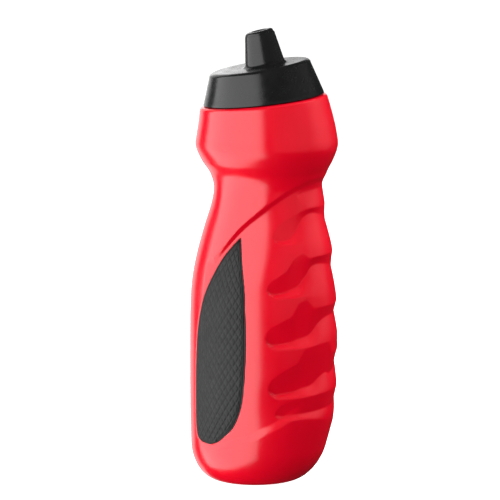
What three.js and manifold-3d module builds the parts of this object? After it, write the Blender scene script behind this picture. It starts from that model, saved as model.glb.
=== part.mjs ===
// Sports squeeze bottle: a hollow blow-moulded body with finger grooves, two rubber grip panels,
// and a screw cap with a moulded spout, a slit valve, its retaining ring and a sealing washer.
// Millimetres, +Z up. The bottle stands on z = 0. -X is the drinker's side, +X the finger side.

import * as THREE from 'three';
import { mergeVertices } from 'three/addons/utils/BufferGeometryUtils.js';
import Module from 'manifold-3d';

const wasm = await Module();
wasm.setup();

// ---- driving dimensions ----------------------------------------------------------------------

const RIM_HEIGHT = 194;          // centre of the shoulder rim, where the cap's skirt lands
const RIM_OFFSET = 0.1;          // the rim's centre stands this far towards +X
const NECK_TILT = 6.3;           // degrees, the neck and cap lean towards -X
const LEAN_START = 168;          // height where the shoulder begins to lean with the neck
const RIM_EDGE_RADIUS = 1.6;     // rounding round the top of the shoulder
const WALL = 1.5;
const BASE_ROUNDING = 18;        // height over which the foot rounds in
const BASE_INSET = 12;           // how far the foot rounds in
const BASE_PUSH_UP = 2.5;        // the hollow under the foot
const BASE_HOLLOW = 0.6;         // the hollow's flat, as a share of the foot's flat
const BASE_RING = 0.82;          // where the ring that it stands on begins, as the same share
const NECK_ROOT_WALL = 1.5;      // extra wall where the shoulder turns into the neck
const NECK_ROOT_START = 184;     // height where that extra wall begins

const NECK_RADIUS = 23.8;
const NECK_BORE = 22;
const NECK_HEIGHT = 13.4;
const THREAD_LEAD = 5;
const THREAD_DEPTH = 1.05;
const THREAD_WIDTH = 1.9;
const THREAD_TURNS = 1.15;
const NECK_THREAD_START = 6;     // height of the neck's thread where it begins
const CAP_THREAD_START = 3.4;    // the cap's thread runs under the neck's, and holds the cap down
const THREAD_STEPS = 36;         // steps in one turn
const THREAD_RUN_OUT = 4;        // steps over which a thread's end runs out
const THREAD_BURIED = 0.5;       // how deep a thread's root lies in its wall

const CAP_GAP = 0.3;             // between the cap's skirt and the shoulder
const CAP_RADIUS = 30.6;
const CAP_TOP_RADIUS = 25.3;
const CAP_HEIGHT = 17.4;
const CAP_WALL = 1.6;
const CAP_UNDERSIDE = 15.1;
const CAP_EDGE_RADIUS = 2;
const CAP_EDGE_RISE = 1.5;       // the rounded edge is a little flatter than round
const CAP_TOP_SLANT = 2.8;       // degrees, the cap's top leans further than the neck
const COLLAR_BORE = 25.3;        // the threaded collar inside the skirt
const COLLAR_WALL = 1.3;
const COLLAR_END = 2.2;
const SKIRT_HOLLOW = 7.6;        // the gap between collar and skirt reaches up to here
const SKIRT_HOLLOW_WIDTH = 0.8;

const SPOUT_BASE = { x: 2.5, halfLength: 10.2, halfWidth: 9.4 };
const SPOUT_TIP = { x: 1.3, halfLength: 7.3, halfWidth: 6.6 };
const SPOUT_HEIGHT = 17.6;
const SPOUT_TIP_SLANT = 7;       // degrees, the mouthpiece's end leans further still
const SPOUT_EDGE_RADIUS = 1.7;
const SPOUT_MOUTH_RADIUS = 3.6;
const SPOUT_MOUTH_DEPTH = 6;
const SPOUT_FILLET = 2;
const VALVE_SEAT_RADIUS = 8;     // the socket under the spout that holds the valve
const VALVE_SOCKET_WALL = 1.4;
const VALVE_SOCKET_END = 11.8;
const VALVE_SEAT = 17;
const PASSAGE_RADIUS = 6;
const VALVE_RIM = 1.2;
const VALVE_SKIN = 0.8;
const VALVE_RISE = 2.6;          // the sleeve's height over the rim
const VALVE_DISH = 1.6;          // the membrane's middle under the sleeve's end
const RETAINER_BORE = 4.6;
const WASHER_RADIUS = 24.6;
const PIECE_GAP = 0.3;           // clear space between neighbouring pieces

const PANEL_THICKNESS = 1.5;
const PANEL_GAP = 0.3;
const PANEL_FOOT = 21.5;
const PANEL_TIP = 128.5;
const GRIP_RADIUS = 36.5;        // the body's radius round the grip
const THICKENING_START = 9;      // the wall thickens from this far outside a panel
const THICKENING_WIDTH = 5;

const LIP_LEVEL_TO = 40;         // degrees, a groove's lip keeps its height up to here
const LIP_SIDE = 80;             // degrees, where a groove has its side height
const LOW_EDGE_SIDE = 60;        // degrees, where a groove's lower edge has its side height
const BULGE_RISE = 9;            // degrees over which a lip's bulge rises
const BULGE_FALL = 9;            // degrees over which it falls again
const GROOVE_END_ROUNDING = 8;   // degrees over which a groove's outline rounds off
const GROOVE_END_SLOPE = 18;     // degrees over which its floor comes up
const GROOVE_SLOPE_CURVE = 1.3;

const AROUND = 40;               // points round the body
const ROWS_OUTSIDE = 38;         // rows from foot to rim
const ROWS_INSIDE = 14;
const ROW_CROWDING = 1.15;       // rows stand closer near the foot
const PANEL_COLUMNS = 7;
const PANEL_ROWS = 20;
const CUTTER_REACH = 3;          // how far a cutter stands out of the surface it cuts
const BEVEL = 0.4;

// ---- materials -------------------------------------------------------------------------------

const finish = (color, roughness) => new THREE.MeshStandardMaterial({ color, roughness, metalness: 0 });
const RED_PLASTIC = () => finish(0xf0303f, 0.35);
const BLACK_PLASTIC = () => finish(0x262628, 0.35);
const GRIP_RUBBER = () => finish(0x3c3f3f, 0.7);
const CLEAR_SILICONE = () => finish(0xd8dadb, 0.45);
const WHITE_PLASTIC = () => finish(0xe6e6e2, 0.5);

// ---- small helpers ---------------------------------------------------------------------------

const radians = THREE.MathUtils.degToRad;
const clamp01 = (t) => Math.min(Math.max(t, 0), 1);
const ease = (t) => clamp01(t) ** 2 * (3 - 2 * clamp01(t));
const ramp = (t) => 0.75 * clamp01(t) + 0.25 * ease(t);

// A smooth curve through knots [position, value]; at each knot it runs parallel to the line between
// the two knots beside it.
function smoothCurve(knots) {
  const slope = (i) => {
    const before = knots[Math.max(i - 1, 0)];
    const after = knots[Math.min(i + 1, knots.length - 1)];
    return (after[1] - before[1]) / (after[0] - before[0]);
  };
  return (position) => {
    const last = knots.length - 2;
    const found = knots.findIndex((knot) => knot[0] > position) - 1;
    const i = found < 0 ? (position < knots[0][0] ? 0 : last) : found;
    const span = knots[i + 1][0] - knots[i][0];
    const t = clamp01((position - knots[i][0]) / span);
    return (2 * t ** 3 - 3 * t ** 2 + 1) * knots[i][1] + (t ** 3 - 2 * t ** 2 + t) * span * slope(i)
      + (3 * t ** 2 - 2 * t ** 3) * knots[i + 1][1] + (t ** 3 - t ** 2) * span * slope(i + 1);
  };
}

// A closed geometry from rings of points: each ring joins the next, and both ends are closed flat
// or, when looped, the last ring joins the first.
function loft(rings, looped = false) {
  const positions = rings.flat().flatMap((p) => [p.x, p.y, p.z]);
  const n = rings[0].length;
  const index = [];
  const bands = looped ? rings.length : rings.length - 1;
  for (let r = 0; r < bands; r++) {
    const here = r * n;
    const next = ((r + 1) % rings.length) * n;
    for (let i = 0; i < n; i++) {
      const j = (i + 1) % n;
      index.push(here + i, here + j, next + j, here + i, next + j, next + i);
    }
  }
  if (!looped) {
    for (let i = 1; i < n - 1; i++) {
      index.push(0, i + 1, i);
      const top = (rings.length - 1) * n;
      index.push(top, top + i, top + i + 1);
    }
  }
  const geometry = new THREE.BufferGeometry();
  geometry.setAttribute('position', new THREE.Float32BufferAttribute(positions, 3));
  geometry.setIndex(index);
  return geometry;
}

// A closed geometry as a solid, turned inside out first if its faces point inwards.
function toSolid(geometry) {
  const bare = geometry.clone();
  bare.deleteAttribute('normal');
  bare.deleteAttribute('uv');
  const merged = mergeVertices(bare);
  const vertProperties = new Float32Array(merged.attributes.position.array);
  const triVerts = new Uint32Array(merged.index.array);
  const corner = (k) => new THREE.Vector3().fromArray(vertProperties, 3 * triVerts[k]);
  let volume = 0;
  for (let t = 0; t < triVerts.length; t += 3) volume += corner(t).dot(corner(t + 1).cross(corner(t + 2)));
  if (volume < 0) triVerts.reverse();
  return new wasm.Manifold(new wasm.Mesh({ numProp: 3, vertProperties, triVerts }));
}

function toGeometry(solid) {
  const mesh = solid.getMesh();
  const geometry = new THREE.BufferGeometry();
  geometry.setAttribute('position', new THREE.Float32BufferAttribute(mesh.vertProperties, 3));
  geometry.setIndex(Array.from(mesh.triVerts));
  return geometry;
}

// ---- the body's outer shape ------------------------------------------------------------------
// A place on the body is (angle, height): the angle in degrees from the finger side, 0 at +X,
// 90 at the side and 180 at the drinker's side. Both halves are alike.

const frontReach = smoothCurve([
  [0, 36.1], [18, 37], [40, 37.5], [75, 37.5], [92, 37.2], [104, 36.2], [116, 33.9], [130, 30.1],
  [142, 26.4], [150, 25.3], [157, 27.1], [164, 31.6], [171, 34.4], [178, 33.9], [186, 33], [194, 32.3],
]);
const backReach = smoothCurve([
  [0, 27.4], [18, 32.2], [34, 36.2], [47, 37.2], [70, 37.6], [92, 37.1], [118, 34.9], [135, 32.1],
  [147, 30.8], [152, 30.6], [158, 32.2], [164, 35.2], [171, 37.5], [178, 36.6], [185, 34.7], [194, 31.9],
]);

// Finger grooves, from the top. lip and low are the heights of the sharp upper lip and of the soft
// lower edge, each at the back and at the side. depth is the deepest cut and end the angle where
// the groove closes. The lip bulges up by bulge between the angles bulgeFrom and bulgeTo. valley is
// how far down the cut its deepest line lies, from 0 at the lip to 1 at the lower edge, by angle.
const GROOVES = [
  {
    lip: [156, 150], low: [142.5, 142.5], depth: 0.9, end: 58, bulge: 0, bulgeFrom: 50, bulgeTo: 60,
    valley: smoothCurve([[0, 0.33], [60, 0.5]]),
  },
  {
    lip: [141.5, 133.5], low: [118.5, 124.5], depth: 1.8, end: 84, bulge: 0, bulgeFrom: 50, bulgeTo: 60,
    valley: smoothCurve([[0, 0.33], [36, 0.15], [51, 0.25], [60, 0.57], [68, 0.82], [78, 0.82]]),
  },
  {
    lip: [117.5, 108.4], low: [94, 98.2], depth: 2.7, end: 87.5, bulge: 4, bulgeFrom: 48, bulgeTo: 64,
    valley: smoothCurve([[0, 0.33], [33, 0.2], [46, 0.27], [53, 0.55], [60, 0.76], [78, 0.82]]),
  },
  {
    lip: [92, 85], low: [75, 72.4], depth: 2.8, end: 88.5, bulge: 5.5, bulgeFrom: 46, bulgeTo: 60,
    valley: smoothCurve([[0, 0.33], [30, 0.33], [40, 0.45], [46, 0.62], [53, 0.78], [78, 0.82]]),
  },
  {
    lip: [67.5, 59.5], low: [49, 47.2], depth: 2.9, end: 86, bulge: 6, bulgeFrom: 22, bulgeTo: 55,
    valley: smoothCurve([[0, 0.33], [20, 0.55], [38, 0.68], [45, 0.78], [53, 0.82], [78, 0.84]]),
  },
  {
    lip: [48, 43.6], low: [30.5, 36], depth: 1.8, end: 80, bulge: 0, bulgeFrom: 30, bulgeTo: 60,
    valley: smoothCurve([[0, 0.33], [33, 0.6], [46, 0.7], [60, 0.76], [78, 0.78]]),
  },
];

function grooveDepth(angle, height) {
  let depth = 0;
  const towardsSide = clamp01((angle - LIP_LEVEL_TO) / (LIP_SIDE - LIP_LEVEL_TO)) ** 2;
  const drop = towardsSide + Math.max(angle - LIP_SIDE, 0) / LIP_SIDE;
  const reach = 0.6 + 0.4 * ease((angle - 15) / 45);
  for (const groove of GROOVES) {
    const rise = ease((angle - groove.bulgeFrom) / BULGE_RISE);
    const fall = ease((angle - groove.bulgeTo) / BULGE_FALL);
    const bulge = groove.bulge * rise * (1 - fall);
    const lip = groove.lip[0] + (groove.lip[1] - groove.lip[0]) * drop + bulge;
    const low = groove.low[0] + (groove.low[1] - groove.low[0]) * ease(angle / LOW_EDGE_SIDE);
    const closing = (over) => Math.sqrt(1 - clamp01((angle - groove.end) / over + 1) ** 2);
    const half = (lip - low) / 2 * closing(GROOVE_END_ROUNDING);
    if (half < 0.1) continue;
    const across = ((lip + low) / 2 + half - height) / (2 * half);
    if (across <= 0 || across >= 1) continue;
    const valley = groove.valley(angle);
    const wall = across / valley;
    const scoop = across < valley
      ? (wall + Math.sin(Math.PI / 2 * wall)) / 2
      : ((1 - across) / (1 - valley)) ** GROOVE_SLOPE_CURVE;
    depth += groove.depth * reach * closing(GROOVE_END_SLOPE) * scoop;
  }
  return depth;
}

// The cowl's edge sweeps from the back of the waist down to the grip panel's tip. Under it the
// surface steps in, and comes out again further down.
const cowlHeight = smoothCurve([
  [0, 157], [40, 156.4], [62, 153.2], [82, 147.8], [102, 140.2], [119, 131.4], [138, 117],
]);
const cowlDepth = smoothCurve([[0, 0.4], [40, 0.65], [80, 1.8], [110, 2.2], [128, 2], [137, 1.1], [145, 0]]);

function cowlStep(angle, height) {
  const below = cowlHeight(angle) - height;
  return cowlDepth(angle) * ramp(below / 3.8) * (1 - ease((below - 6) / 34));
}

// The shelf under the grip, where the foot bulges out again.
const shelfHeight = (angle) => 17.6 + 0.125 * (138 - angle) + 0.00185 * (138 - angle) ** 2;

function shelfStep(angle, height) {
  const above = height - shelfHeight(angle);
  const reach = ease((angle - 50) / 25) * (1 - ease((angle - 128) / 26));
  return 1.3 * reach * ramp(above / 4.6) * (1 - ease((above - 7) / 24));
}

// The foot rounds in to the flat ring that the bottle stands on.
const footInset = (height) => BASE_INSET * (1 - Math.sqrt(1 - clamp01(1 - height / BASE_ROUNDING) ** 2));

// A point on the body's surface, or a given depth under it.
function bodyPoint(turn, height, under = 0) {
  const angle = Math.abs(turn);
  const carved = grooveDepth(angle, height) + cowlStep(angle, height) + shelfStep(angle, height);
  const front = frontReach(height) - footInset(height);
  const back = backReach(height) - footInset(height);
  const reach = (front + back) / 2 - carved - under;
  const tilt = radians(NECK_TILT) * ease((height - LEAN_START) / (RIM_HEIGHT - LEAN_START));
  const along = reach * Math.cos(radians(turn));
  return new THREE.Vector3(
    (back - front) / 2 + along * Math.cos(tilt),
    -reach * Math.sin(radians(turn)),
    height + along * Math.sin(tilt),
  );
}

const turnsRound = (count) => Array.from({ length: count }, (_, i) => i * 360 / count - 180);
const bodyRing = (height, under = 0) => turnsRound(AROUND).map((turn) => bodyPoint(turn, height, under));

// ---- the neck's own frame: z along the neck from the rim's centre -----------------------------

const neckFrame = new THREE.Matrix4()
  .makeTranslation(RIM_OFFSET, 0, RIM_HEIGHT)
  .multiply(new THREE.Matrix4().makeRotationY(radians(-NECK_TILT)));
const onNeck = (x, y, z) => new THREE.Vector3(x, y, z).applyMatrix4(neckFrame);
const neckRing = (radius, z) => turnsRound(AROUND)
  .map((turn) => onNeck(radius * Math.cos(radians(turn)), -radius * Math.sin(radians(turn)), z));

// A helical thread of trapezoid section, its crest outward or inward, buried a little in its wall.
function threadSolid(wallRadius, outward, startZ) {
  const steps = Math.round(THREAD_TURNS * THREAD_STEPS);
  const rings = [];
  for (let s = 0; s <= steps; s++) {
    const turn = s / steps * THREAD_TURNS * 360;
    const runOut = Math.min(1, Math.min(s, steps - s) / THREAD_RUN_OUT);
    const crest = wallRadius + outward * (THREAD_DEPTH * runOut + 0.02);
    const root = wallRadius - outward * THREAD_BURIED;
    const z = startZ + s / steps * THREAD_TURNS * THREAD_LEAD;
    const section = [
      [root, -THREAD_WIDTH / 2], [crest, -THREAD_WIDTH / 5],
      [crest, THREAD_WIDTH / 5], [root, THREAD_WIDTH / 2],
    ];
    rings.push(section.map(([r, up]) => onNeck(
      r * Math.cos(radians(turn)), r * Math.sin(radians(turn)), z + up,
    )));
  }
  return toSolid(loft(rings));
}

// ---- grip panels -----------------------------------------------------------------------------

// The panel's outline: the two edges' angles at each height, the finger side's edge first.
const panelBackEdge = smoothCurve([
  [21.5, 138], [23, 129.5], [27, 121.3], [31, 114.9], [36, 110.7], [43, 107.1], [50, 105.4],
  [62, 104], [78, 103.5], [92, 104], [102, 104.9], [110, 107.4], [118, 110.8], [128.5, 115.4],
]);
const panelFrontEdge = smoothCurve([
  [21.5, 138], [22.5, 149], [25, 154.3], [31, 156.7], [50, 156.9], [65, 156], [78, 153.8],
  [90, 149.2], [100, 143.8], [110, 137.3], [118, 130.6], [124, 122.8], [128.5, 115.4],
]);

// One panel as a thick patch of the body's surface, grown by a gap when it is used as a cutter.
function panelSolid(side, grow) {
  const spread = THREE.MathUtils.radToDeg(grow / GRIP_RADIUS);
  const grid = (proud) => {
    const points = [];
    for (let r = 0; r <= PANEL_ROWS; r++) {
      const share = (1 - Math.cos(Math.PI * r / PANEL_ROWS)) / 2;
      const height = PANEL_FOOT + (PANEL_TIP - PANEL_FOOT) * share;
      const back = panelBackEdge(height) - spread;
      const front = panelFrontEdge(height) + spread;
      const lift = grow * (2 * share - 1);
      for (let c = 0; c <= PANEL_COLUMNS; c++) {
        const turn = side * (back + (front - back) * c / PANEL_COLUMNS);
        const point = bodyPoint(turn, height, -proud);
        point.z += lift;
        points.push(point);
      }
    }
    return points;
  };
  const outer = grid(grow > 0 ? CUTTER_REACH : 0);
  const inner = grid(-PANEL_THICKNESS - grow);
  return patchSolid(outer, inner);
}

// Joins two grids of points, the outer and the inner face of a panel, into one closed solid.
function patchSolid(outer, inner) {
  const positions = [...outer, ...inner].flatMap((p) => [p.x, p.y, p.z]);
  const index = [];
  const at = (r, c, layer) => layer * outer.length + r * (PANEL_COLUMNS + 1) + c;
  const quad = (a, b, c, d) => index.push(a, b, c, a, c, d);
  for (let r = 0; r < PANEL_ROWS; r++) {
    for (let c = 0; c < PANEL_COLUMNS; c++) {
      quad(at(r, c, 0), at(r, c + 1, 0), at(r + 1, c + 1, 0), at(r + 1, c, 0));
      quad(at(r, c, 1), at(r + 1, c, 1), at(r + 1, c + 1, 1), at(r, c + 1, 1));
    }
    quad(at(r, 0, 1), at(r, 0, 0), at(r + 1, 0, 0), at(r + 1, 0, 1));
    quad(
      at(r, PANEL_COLUMNS, 0), at(r, PANEL_COLUMNS, 1),
      at(r + 1, PANEL_COLUMNS, 1), at(r + 1, PANEL_COLUMNS, 0),
    );
  }
  for (let c = 0; c < PANEL_COLUMNS; c++) {
    quad(at(0, c, 1), at(0, c + 1, 1), at(0, c + 1, 0), at(0, c, 0));
    quad(at(PANEL_ROWS, c, 0), at(PANEL_ROWS, c + 1, 0), at(PANEL_ROWS, c + 1, 1), at(PANEL_ROWS, c, 1));
  }
  const geometry = new THREE.BufferGeometry();
  geometry.setAttribute('position', new THREE.Float32BufferAttribute(positions, 3));
  geometry.setIndex(index);
  return toSolid(geometry);
}

// How much further in the wall runs behind a grip panel, so that its recess keeps a full wall.
function behindPanel(angle, height) {
  const across = Math.min(angle - panelBackEdge(height), panelFrontEdge(height) - angle);
  const inside = Math.min(radians(across) * GRIP_RADIUS, height - PANEL_FOOT, PANEL_TIP - height);
  return (PANEL_THICKNESS + PANEL_GAP) * ease((inside + THICKENING_START) / THICKENING_WIDTH);
}

// ---- bottle body -----------------------------------------------------------------------------

function bottleBody() {
  const foot = bodyRing(0);
  const footCentre = bodyPoint(0, 0).add(bodyPoint(180, 0)).multiplyScalar(0.5);
  const footRing = (share, height) => foot.map((p) => footCentre.clone().lerp(p, share).setZ(height));
  // The hollow under the foot, the outside, the rounded rim and the neck.
  const rings = [footRing(0.05, BASE_PUSH_UP), footRing(BASE_HOLLOW, BASE_PUSH_UP), footRing(BASE_RING, 0)];
  rings.push(foot);
  const rimStart = RIM_HEIGHT - RIM_EDGE_RADIUS;
  for (let i = 1; i <= ROWS_OUTSIDE; i++) {
    rings.push(bodyRing(rimStart * (i / ROWS_OUTSIDE) ** ROW_CROWDING));
  }
  for (const turn of [30, 60, 90]) {
    const inward = RIM_EDGE_RADIUS * (1 - Math.cos(radians(turn)));
    rings.push(bodyRing(rimStart + RIM_EDGE_RADIUS * Math.sin(radians(turn)), inward));
  }
  rings.push(neckRing(NECK_RADIUS + 2 * BEVEL, 0));
  rings.push(neckRing(NECK_RADIUS, 2 * BEVEL));
  rings.push(neckRing(NECK_RADIUS, NECK_HEIGHT - BEVEL));
  rings.push(neckRing(NECK_RADIUS - BEVEL, NECK_HEIGHT));
  rings.push(neckRing(NECK_BORE + BEVEL, NECK_HEIGHT));
  rings.push(neckRing(NECK_BORE, NECK_HEIGHT - BEVEL));
  rings.push(neckRing(NECK_BORE, -1));
  // The inside, from under the neck down to the floor.
  const insideTop = RIM_HEIGHT - 4;
  const insideFloor = WALL + BASE_PUSH_UP;
  for (let i = 0; i <= ROWS_INSIDE; i++) {
    const height = insideTop + (insideFloor + 3 - insideTop) * i / ROWS_INSIDE;
    const neckRoot = NECK_ROOT_WALL * ease((height - NECK_ROOT_START) / 6);
    rings.push(turnsRound(AROUND).map((turn) => bodyPoint(
      turn, height, WALL + behindPanel(Math.abs(turn), height) + neckRoot,
    )));
  }
  rings.push(footRing(0.9, insideFloor));
  rings.push(footRing(0.05, insideFloor + 0.4));
  let solid = toSolid(loft(rings));
  solid = solid.add(threadSolid(NECK_RADIUS, 1, NECK_THREAD_START));
  for (const side of [1, -1]) solid = solid.subtract(panelSolid(side, PANEL_GAP));
  return toGeometry(solid);
}

// ---- cap with its spout ----------------------------------------------------------------------

// A ring in the neck's frame, oval, centred on x and leaning by a slant in degrees.
function capRing(halfLength, halfWidth, z, slant = 0, x = 0) {
  return turnsRound(AROUND).map((turn) => {
    const along = halfLength * Math.cos(radians(turn));
    const across = -halfWidth * Math.sin(radians(turn));
    return onNeck(
      x + along * Math.cos(radians(slant)),
      across,
      z + along * Math.sin(radians(slant)),
    );
  });
}

function capWithSpout() {
  const rings = [];
  const round = (r, z, slant = 0, x = 0) => rings.push(capRing(r, r, z, slant, x));
  // Skirt, leaning in towards the slanted top, with a rounded edge.
  round(CAP_RADIUS - BEVEL, CAP_GAP);
  round(CAP_RADIUS, CAP_GAP + BEVEL);
  const cone = (CAP_RADIUS - CAP_TOP_RADIUS) / CAP_HEIGHT;
  const edgeZ = CAP_HEIGHT - CAP_EDGE_RISE;
  const edgeRadius = CAP_RADIUS - cone * edgeZ;
  const edgeShift = -cone * edgeRadius * Math.tan(radians(CAP_TOP_SLANT));
  for (const turn of [0, 30, 60, 90]) {
    const inward = CAP_EDGE_RADIUS * (1 - Math.cos(radians(turn)));
    const rise = CAP_EDGE_RISE * Math.sin(radians(turn));
    round(edgeRadius - inward, edgeZ + rise, CAP_TOP_SLANT, edgeShift);
  }
  // Flat top to the foot of the spout, a fillet, and the spout itself.
  const spoutRing = (share, grow, drop = 0) => {
    const mix = (a, b) => a + (b - a) * share;
    rings.push(capRing(
      mix(SPOUT_BASE.halfLength, SPOUT_TIP.halfLength) + grow,
      mix(SPOUT_BASE.halfWidth, SPOUT_TIP.halfWidth) + grow,
      CAP_HEIGHT + SPOUT_HEIGHT * share + drop,
      mix(CAP_TOP_SLANT, SPOUT_TIP_SLANT),
      mix(SPOUT_BASE.x, SPOUT_TIP.x),
    ));
  };
  spoutRing(0, SPOUT_FILLET);
  spoutRing(0.035, SPOUT_FILLET * 0.3);
  spoutRing(0.11, 0);
  spoutRing(0.5, 0);
  spoutRing(1, 0, -SPOUT_EDGE_RADIUS);
  spoutRing(1, -SPOUT_EDGE_RADIUS * 0.3, -SPOUT_EDGE_RADIUS * 0.3);
  spoutRing(1, -SPOUT_EDGE_RADIUS, 0);
  // Mouth, passage and the valve's seat.
  const tipZ = CAP_HEIGHT + SPOUT_HEIGHT;
  round(SPOUT_MOUTH_RADIUS, tipZ - BEVEL, SPOUT_TIP_SLANT, SPOUT_TIP.x);
  round(SPOUT_MOUTH_RADIUS, tipZ - SPOUT_MOUTH_DEPTH, 0, SPOUT_TIP.x);
  round(SPOUT_MOUTH_RADIUS + 0.6, tipZ - SPOUT_MOUTH_DEPTH - 1, 0, SPOUT_TIP.x);
  round(SPOUT_MOUTH_RADIUS + 1.4, CAP_HEIGHT + 4);
  round(PASSAGE_RADIUS, CAP_HEIGHT + 2.6);
  round(PASSAGE_RADIUS, VALVE_SEAT);
  round(VALVE_SEAT_RADIUS, VALVE_SEAT);
  round(VALVE_SEAT_RADIUS, VALVE_SOCKET_END);
  round(VALVE_SEAT_RADIUS + VALVE_SOCKET_WALL, VALVE_SOCKET_END);
  round(VALVE_SEAT_RADIUS + VALVE_SOCKET_WALL, CAP_UNDERSIDE);
  // Underside, threaded collar and the inside of the skirt.
  round(COLLAR_BORE, CAP_UNDERSIDE);
  round(COLLAR_BORE, COLLAR_END);
  round(COLLAR_BORE + COLLAR_WALL, COLLAR_END);
  round(COLLAR_BORE + COLLAR_WALL, SKIRT_HOLLOW);
  round(COLLAR_BORE + COLLAR_WALL + SKIRT_HOLLOW_WIDTH, SKIRT_HOLLOW);
  round(CAP_RADIUS - CAP_WALL, CAP_GAP);
  let solid = toSolid(loft(rings, true));
  solid = solid.add(threadSolid(COLLAR_BORE, -1, CAP_THREAD_START));
  return toGeometry(solid);
}

// ---- the pieces inside the cap -----------------------------------------------------------------

// A turned piece standing in the neck's frame: a closed profile of [radius, z].
function turned(profile, segments = 40) {
  const closes = profile[0][0] > 0;
  const points = profile.map(([r, z]) => new THREE.Vector2(r, z));
  if (closes) points.push(points[0].clone());
  const geometry = new THREE.LatheGeometry(points, segments);
  geometry.rotateX(Math.PI / 2);
  geometry.applyMatrix4(neckFrame);
  return toGeometry(toSolid(geometry));
}

// The washer lies between the neck's lip and the cap's underside.
function sealWasher() {
  const top = CAP_UNDERSIDE - PIECE_GAP;
  const bottom = NECK_HEIGHT + PIECE_GAP;
  return turned([[NECK_BORE, bottom], [WASHER_RADIUS, bottom], [WASHER_RADIUS, top], [NECK_BORE, top]]);
}

// The slit valve: a rim held in the socket, a short sleeve and a dished membrane in the passage.
function spoutValve() {
  const rimTop = VALVE_SEAT - PIECE_GAP;
  const rimBottom = rimTop - VALVE_RIM;
  const rimRadius = VALVE_SEAT_RADIUS - 0.4;
  const sleeve = PASSAGE_RADIUS - 0.6;
  const sleeveTop = rimTop + VALVE_RISE;
  return turned([
    [0, sleeveTop - VALVE_DISH], [3.4, sleeveTop - 0.9], [sleeve - 0.6, sleeveTop],
    [sleeve, sleeveTop - 0.5], [sleeve, rimTop], [rimRadius, rimTop], [rimRadius, rimBottom],
    [sleeve - VALVE_SKIN, rimBottom], [sleeve - VALVE_SKIN, sleeveTop - VALVE_SKIN - 0.6],
    [3.2, sleeveTop - 0.9 - VALVE_SKIN], [0, sleeveTop - VALVE_DISH - VALVE_SKIN],
  ], 24);
}

// The ring that is pressed into the socket under the valve.
function valveRetainer() {
  const top = VALVE_SEAT - 2 * PIECE_GAP - VALVE_RIM;
  const bottom = VALVE_SOCKET_END + 0.2;
  const outside = VALVE_SEAT_RADIUS - PIECE_GAP;
  return turned([
    [RETAINER_BORE, bottom], [outside - 0.5, bottom], [outside, bottom + 0.6], [outside, top],
    [RETAINER_BORE + 0.6, top], [RETAINER_BORE, top - 0.6],
  ], 24);
}

// ---- assembly --------------------------------------------------------------------------------

const bottle = new THREE.Group();

function addPiece(name, geometry, material) {
  geometry.computeVertexNormals();
  const mesh = new THREE.Mesh(geometry, material);
  mesh.name = name;
  bottle.add(mesh);
}

addPiece('bottle_body', bottleBody(), RED_PLASTIC());
addPiece('grip_panel_left', toGeometry(panelSolid(1, 0)), GRIP_RUBBER());
addPiece('grip_panel_right', toGeometry(panelSolid(-1, 0)), GRIP_RUBBER());
addPiece('cap', capWithSpout(), BLACK_PLASTIC());
addPiece('seal_washer', sealWasher(), CLEAR_SILICONE());
addPiece('spout_valve', spoutValve(), CLEAR_SILICONE());
addPiece('valve_retainer', valveRetainer(), WHITE_PLASTIC());

export default bottle;
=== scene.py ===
"""Sports squeeze bottle: the finished look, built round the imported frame.

Each operator makes one piece or a group of like pieces; main() runs them in order.
"""

import math

import bpy
import numpy as np
from bpy.props import FloatProperty, FloatVectorProperty, IntProperty, PointerProperty
from mathutils import Matrix, Vector


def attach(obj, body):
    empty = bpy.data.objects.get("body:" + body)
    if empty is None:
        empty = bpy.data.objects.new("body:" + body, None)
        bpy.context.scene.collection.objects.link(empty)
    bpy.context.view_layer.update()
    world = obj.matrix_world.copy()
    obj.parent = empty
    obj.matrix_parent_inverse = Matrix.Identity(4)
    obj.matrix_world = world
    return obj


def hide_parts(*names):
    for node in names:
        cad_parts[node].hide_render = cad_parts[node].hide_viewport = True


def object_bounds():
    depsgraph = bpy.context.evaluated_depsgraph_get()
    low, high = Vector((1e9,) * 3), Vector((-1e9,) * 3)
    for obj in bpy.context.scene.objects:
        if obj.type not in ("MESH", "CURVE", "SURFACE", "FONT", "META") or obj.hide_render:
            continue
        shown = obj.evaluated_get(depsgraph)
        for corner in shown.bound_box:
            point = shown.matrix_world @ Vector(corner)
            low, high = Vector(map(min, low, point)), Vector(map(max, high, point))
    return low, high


bl_info = {
    "name": "Sports squeeze bottle",
    "version": (1, 0, 0),
    "blender": (4, 5, 0),
    "location": "View3D > Sidebar > Squeeze bottle",
    "description": "Builds a waisted squeeze bottle with grip pads and a leaning spout cap",
    "category": "Object",
}

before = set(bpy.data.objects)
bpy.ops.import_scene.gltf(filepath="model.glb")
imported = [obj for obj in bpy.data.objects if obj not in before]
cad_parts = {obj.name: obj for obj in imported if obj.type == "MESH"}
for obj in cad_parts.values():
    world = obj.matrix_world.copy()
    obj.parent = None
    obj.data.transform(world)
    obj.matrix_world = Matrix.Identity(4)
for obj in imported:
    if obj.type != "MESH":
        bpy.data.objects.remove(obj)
CAD_BOUNDS = [list(corner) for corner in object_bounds()]
MM = 0.001

# ---- dimensions shared with the frame, in millimetres --------------------------------------------

RIM_HEIGHT = 194
RIM_OFFSET = 0.1
NECK_TILT = 6.3
RIM_EDGE_RADIUS = 1.6
WALL = 1.5
LEAN_START = 168           # the body leans over from here up to the rim
BASE_ROUNDING = 18
BASE_INSET = 12
BASE_PUSH_UP = 2.5
# The underside from its middle outward: share of the way to the standing ring, and height.
PUSH_UP_PROFILE = [
    (0.1, BASE_PUSH_UP), (0.35, BASE_PUSH_UP), (0.55, 2.45), (0.66, 2.2), (0.74, 1.6), (0.8, 0.8),
    (0.85, 0.25), (0.9, 0),
]

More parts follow.
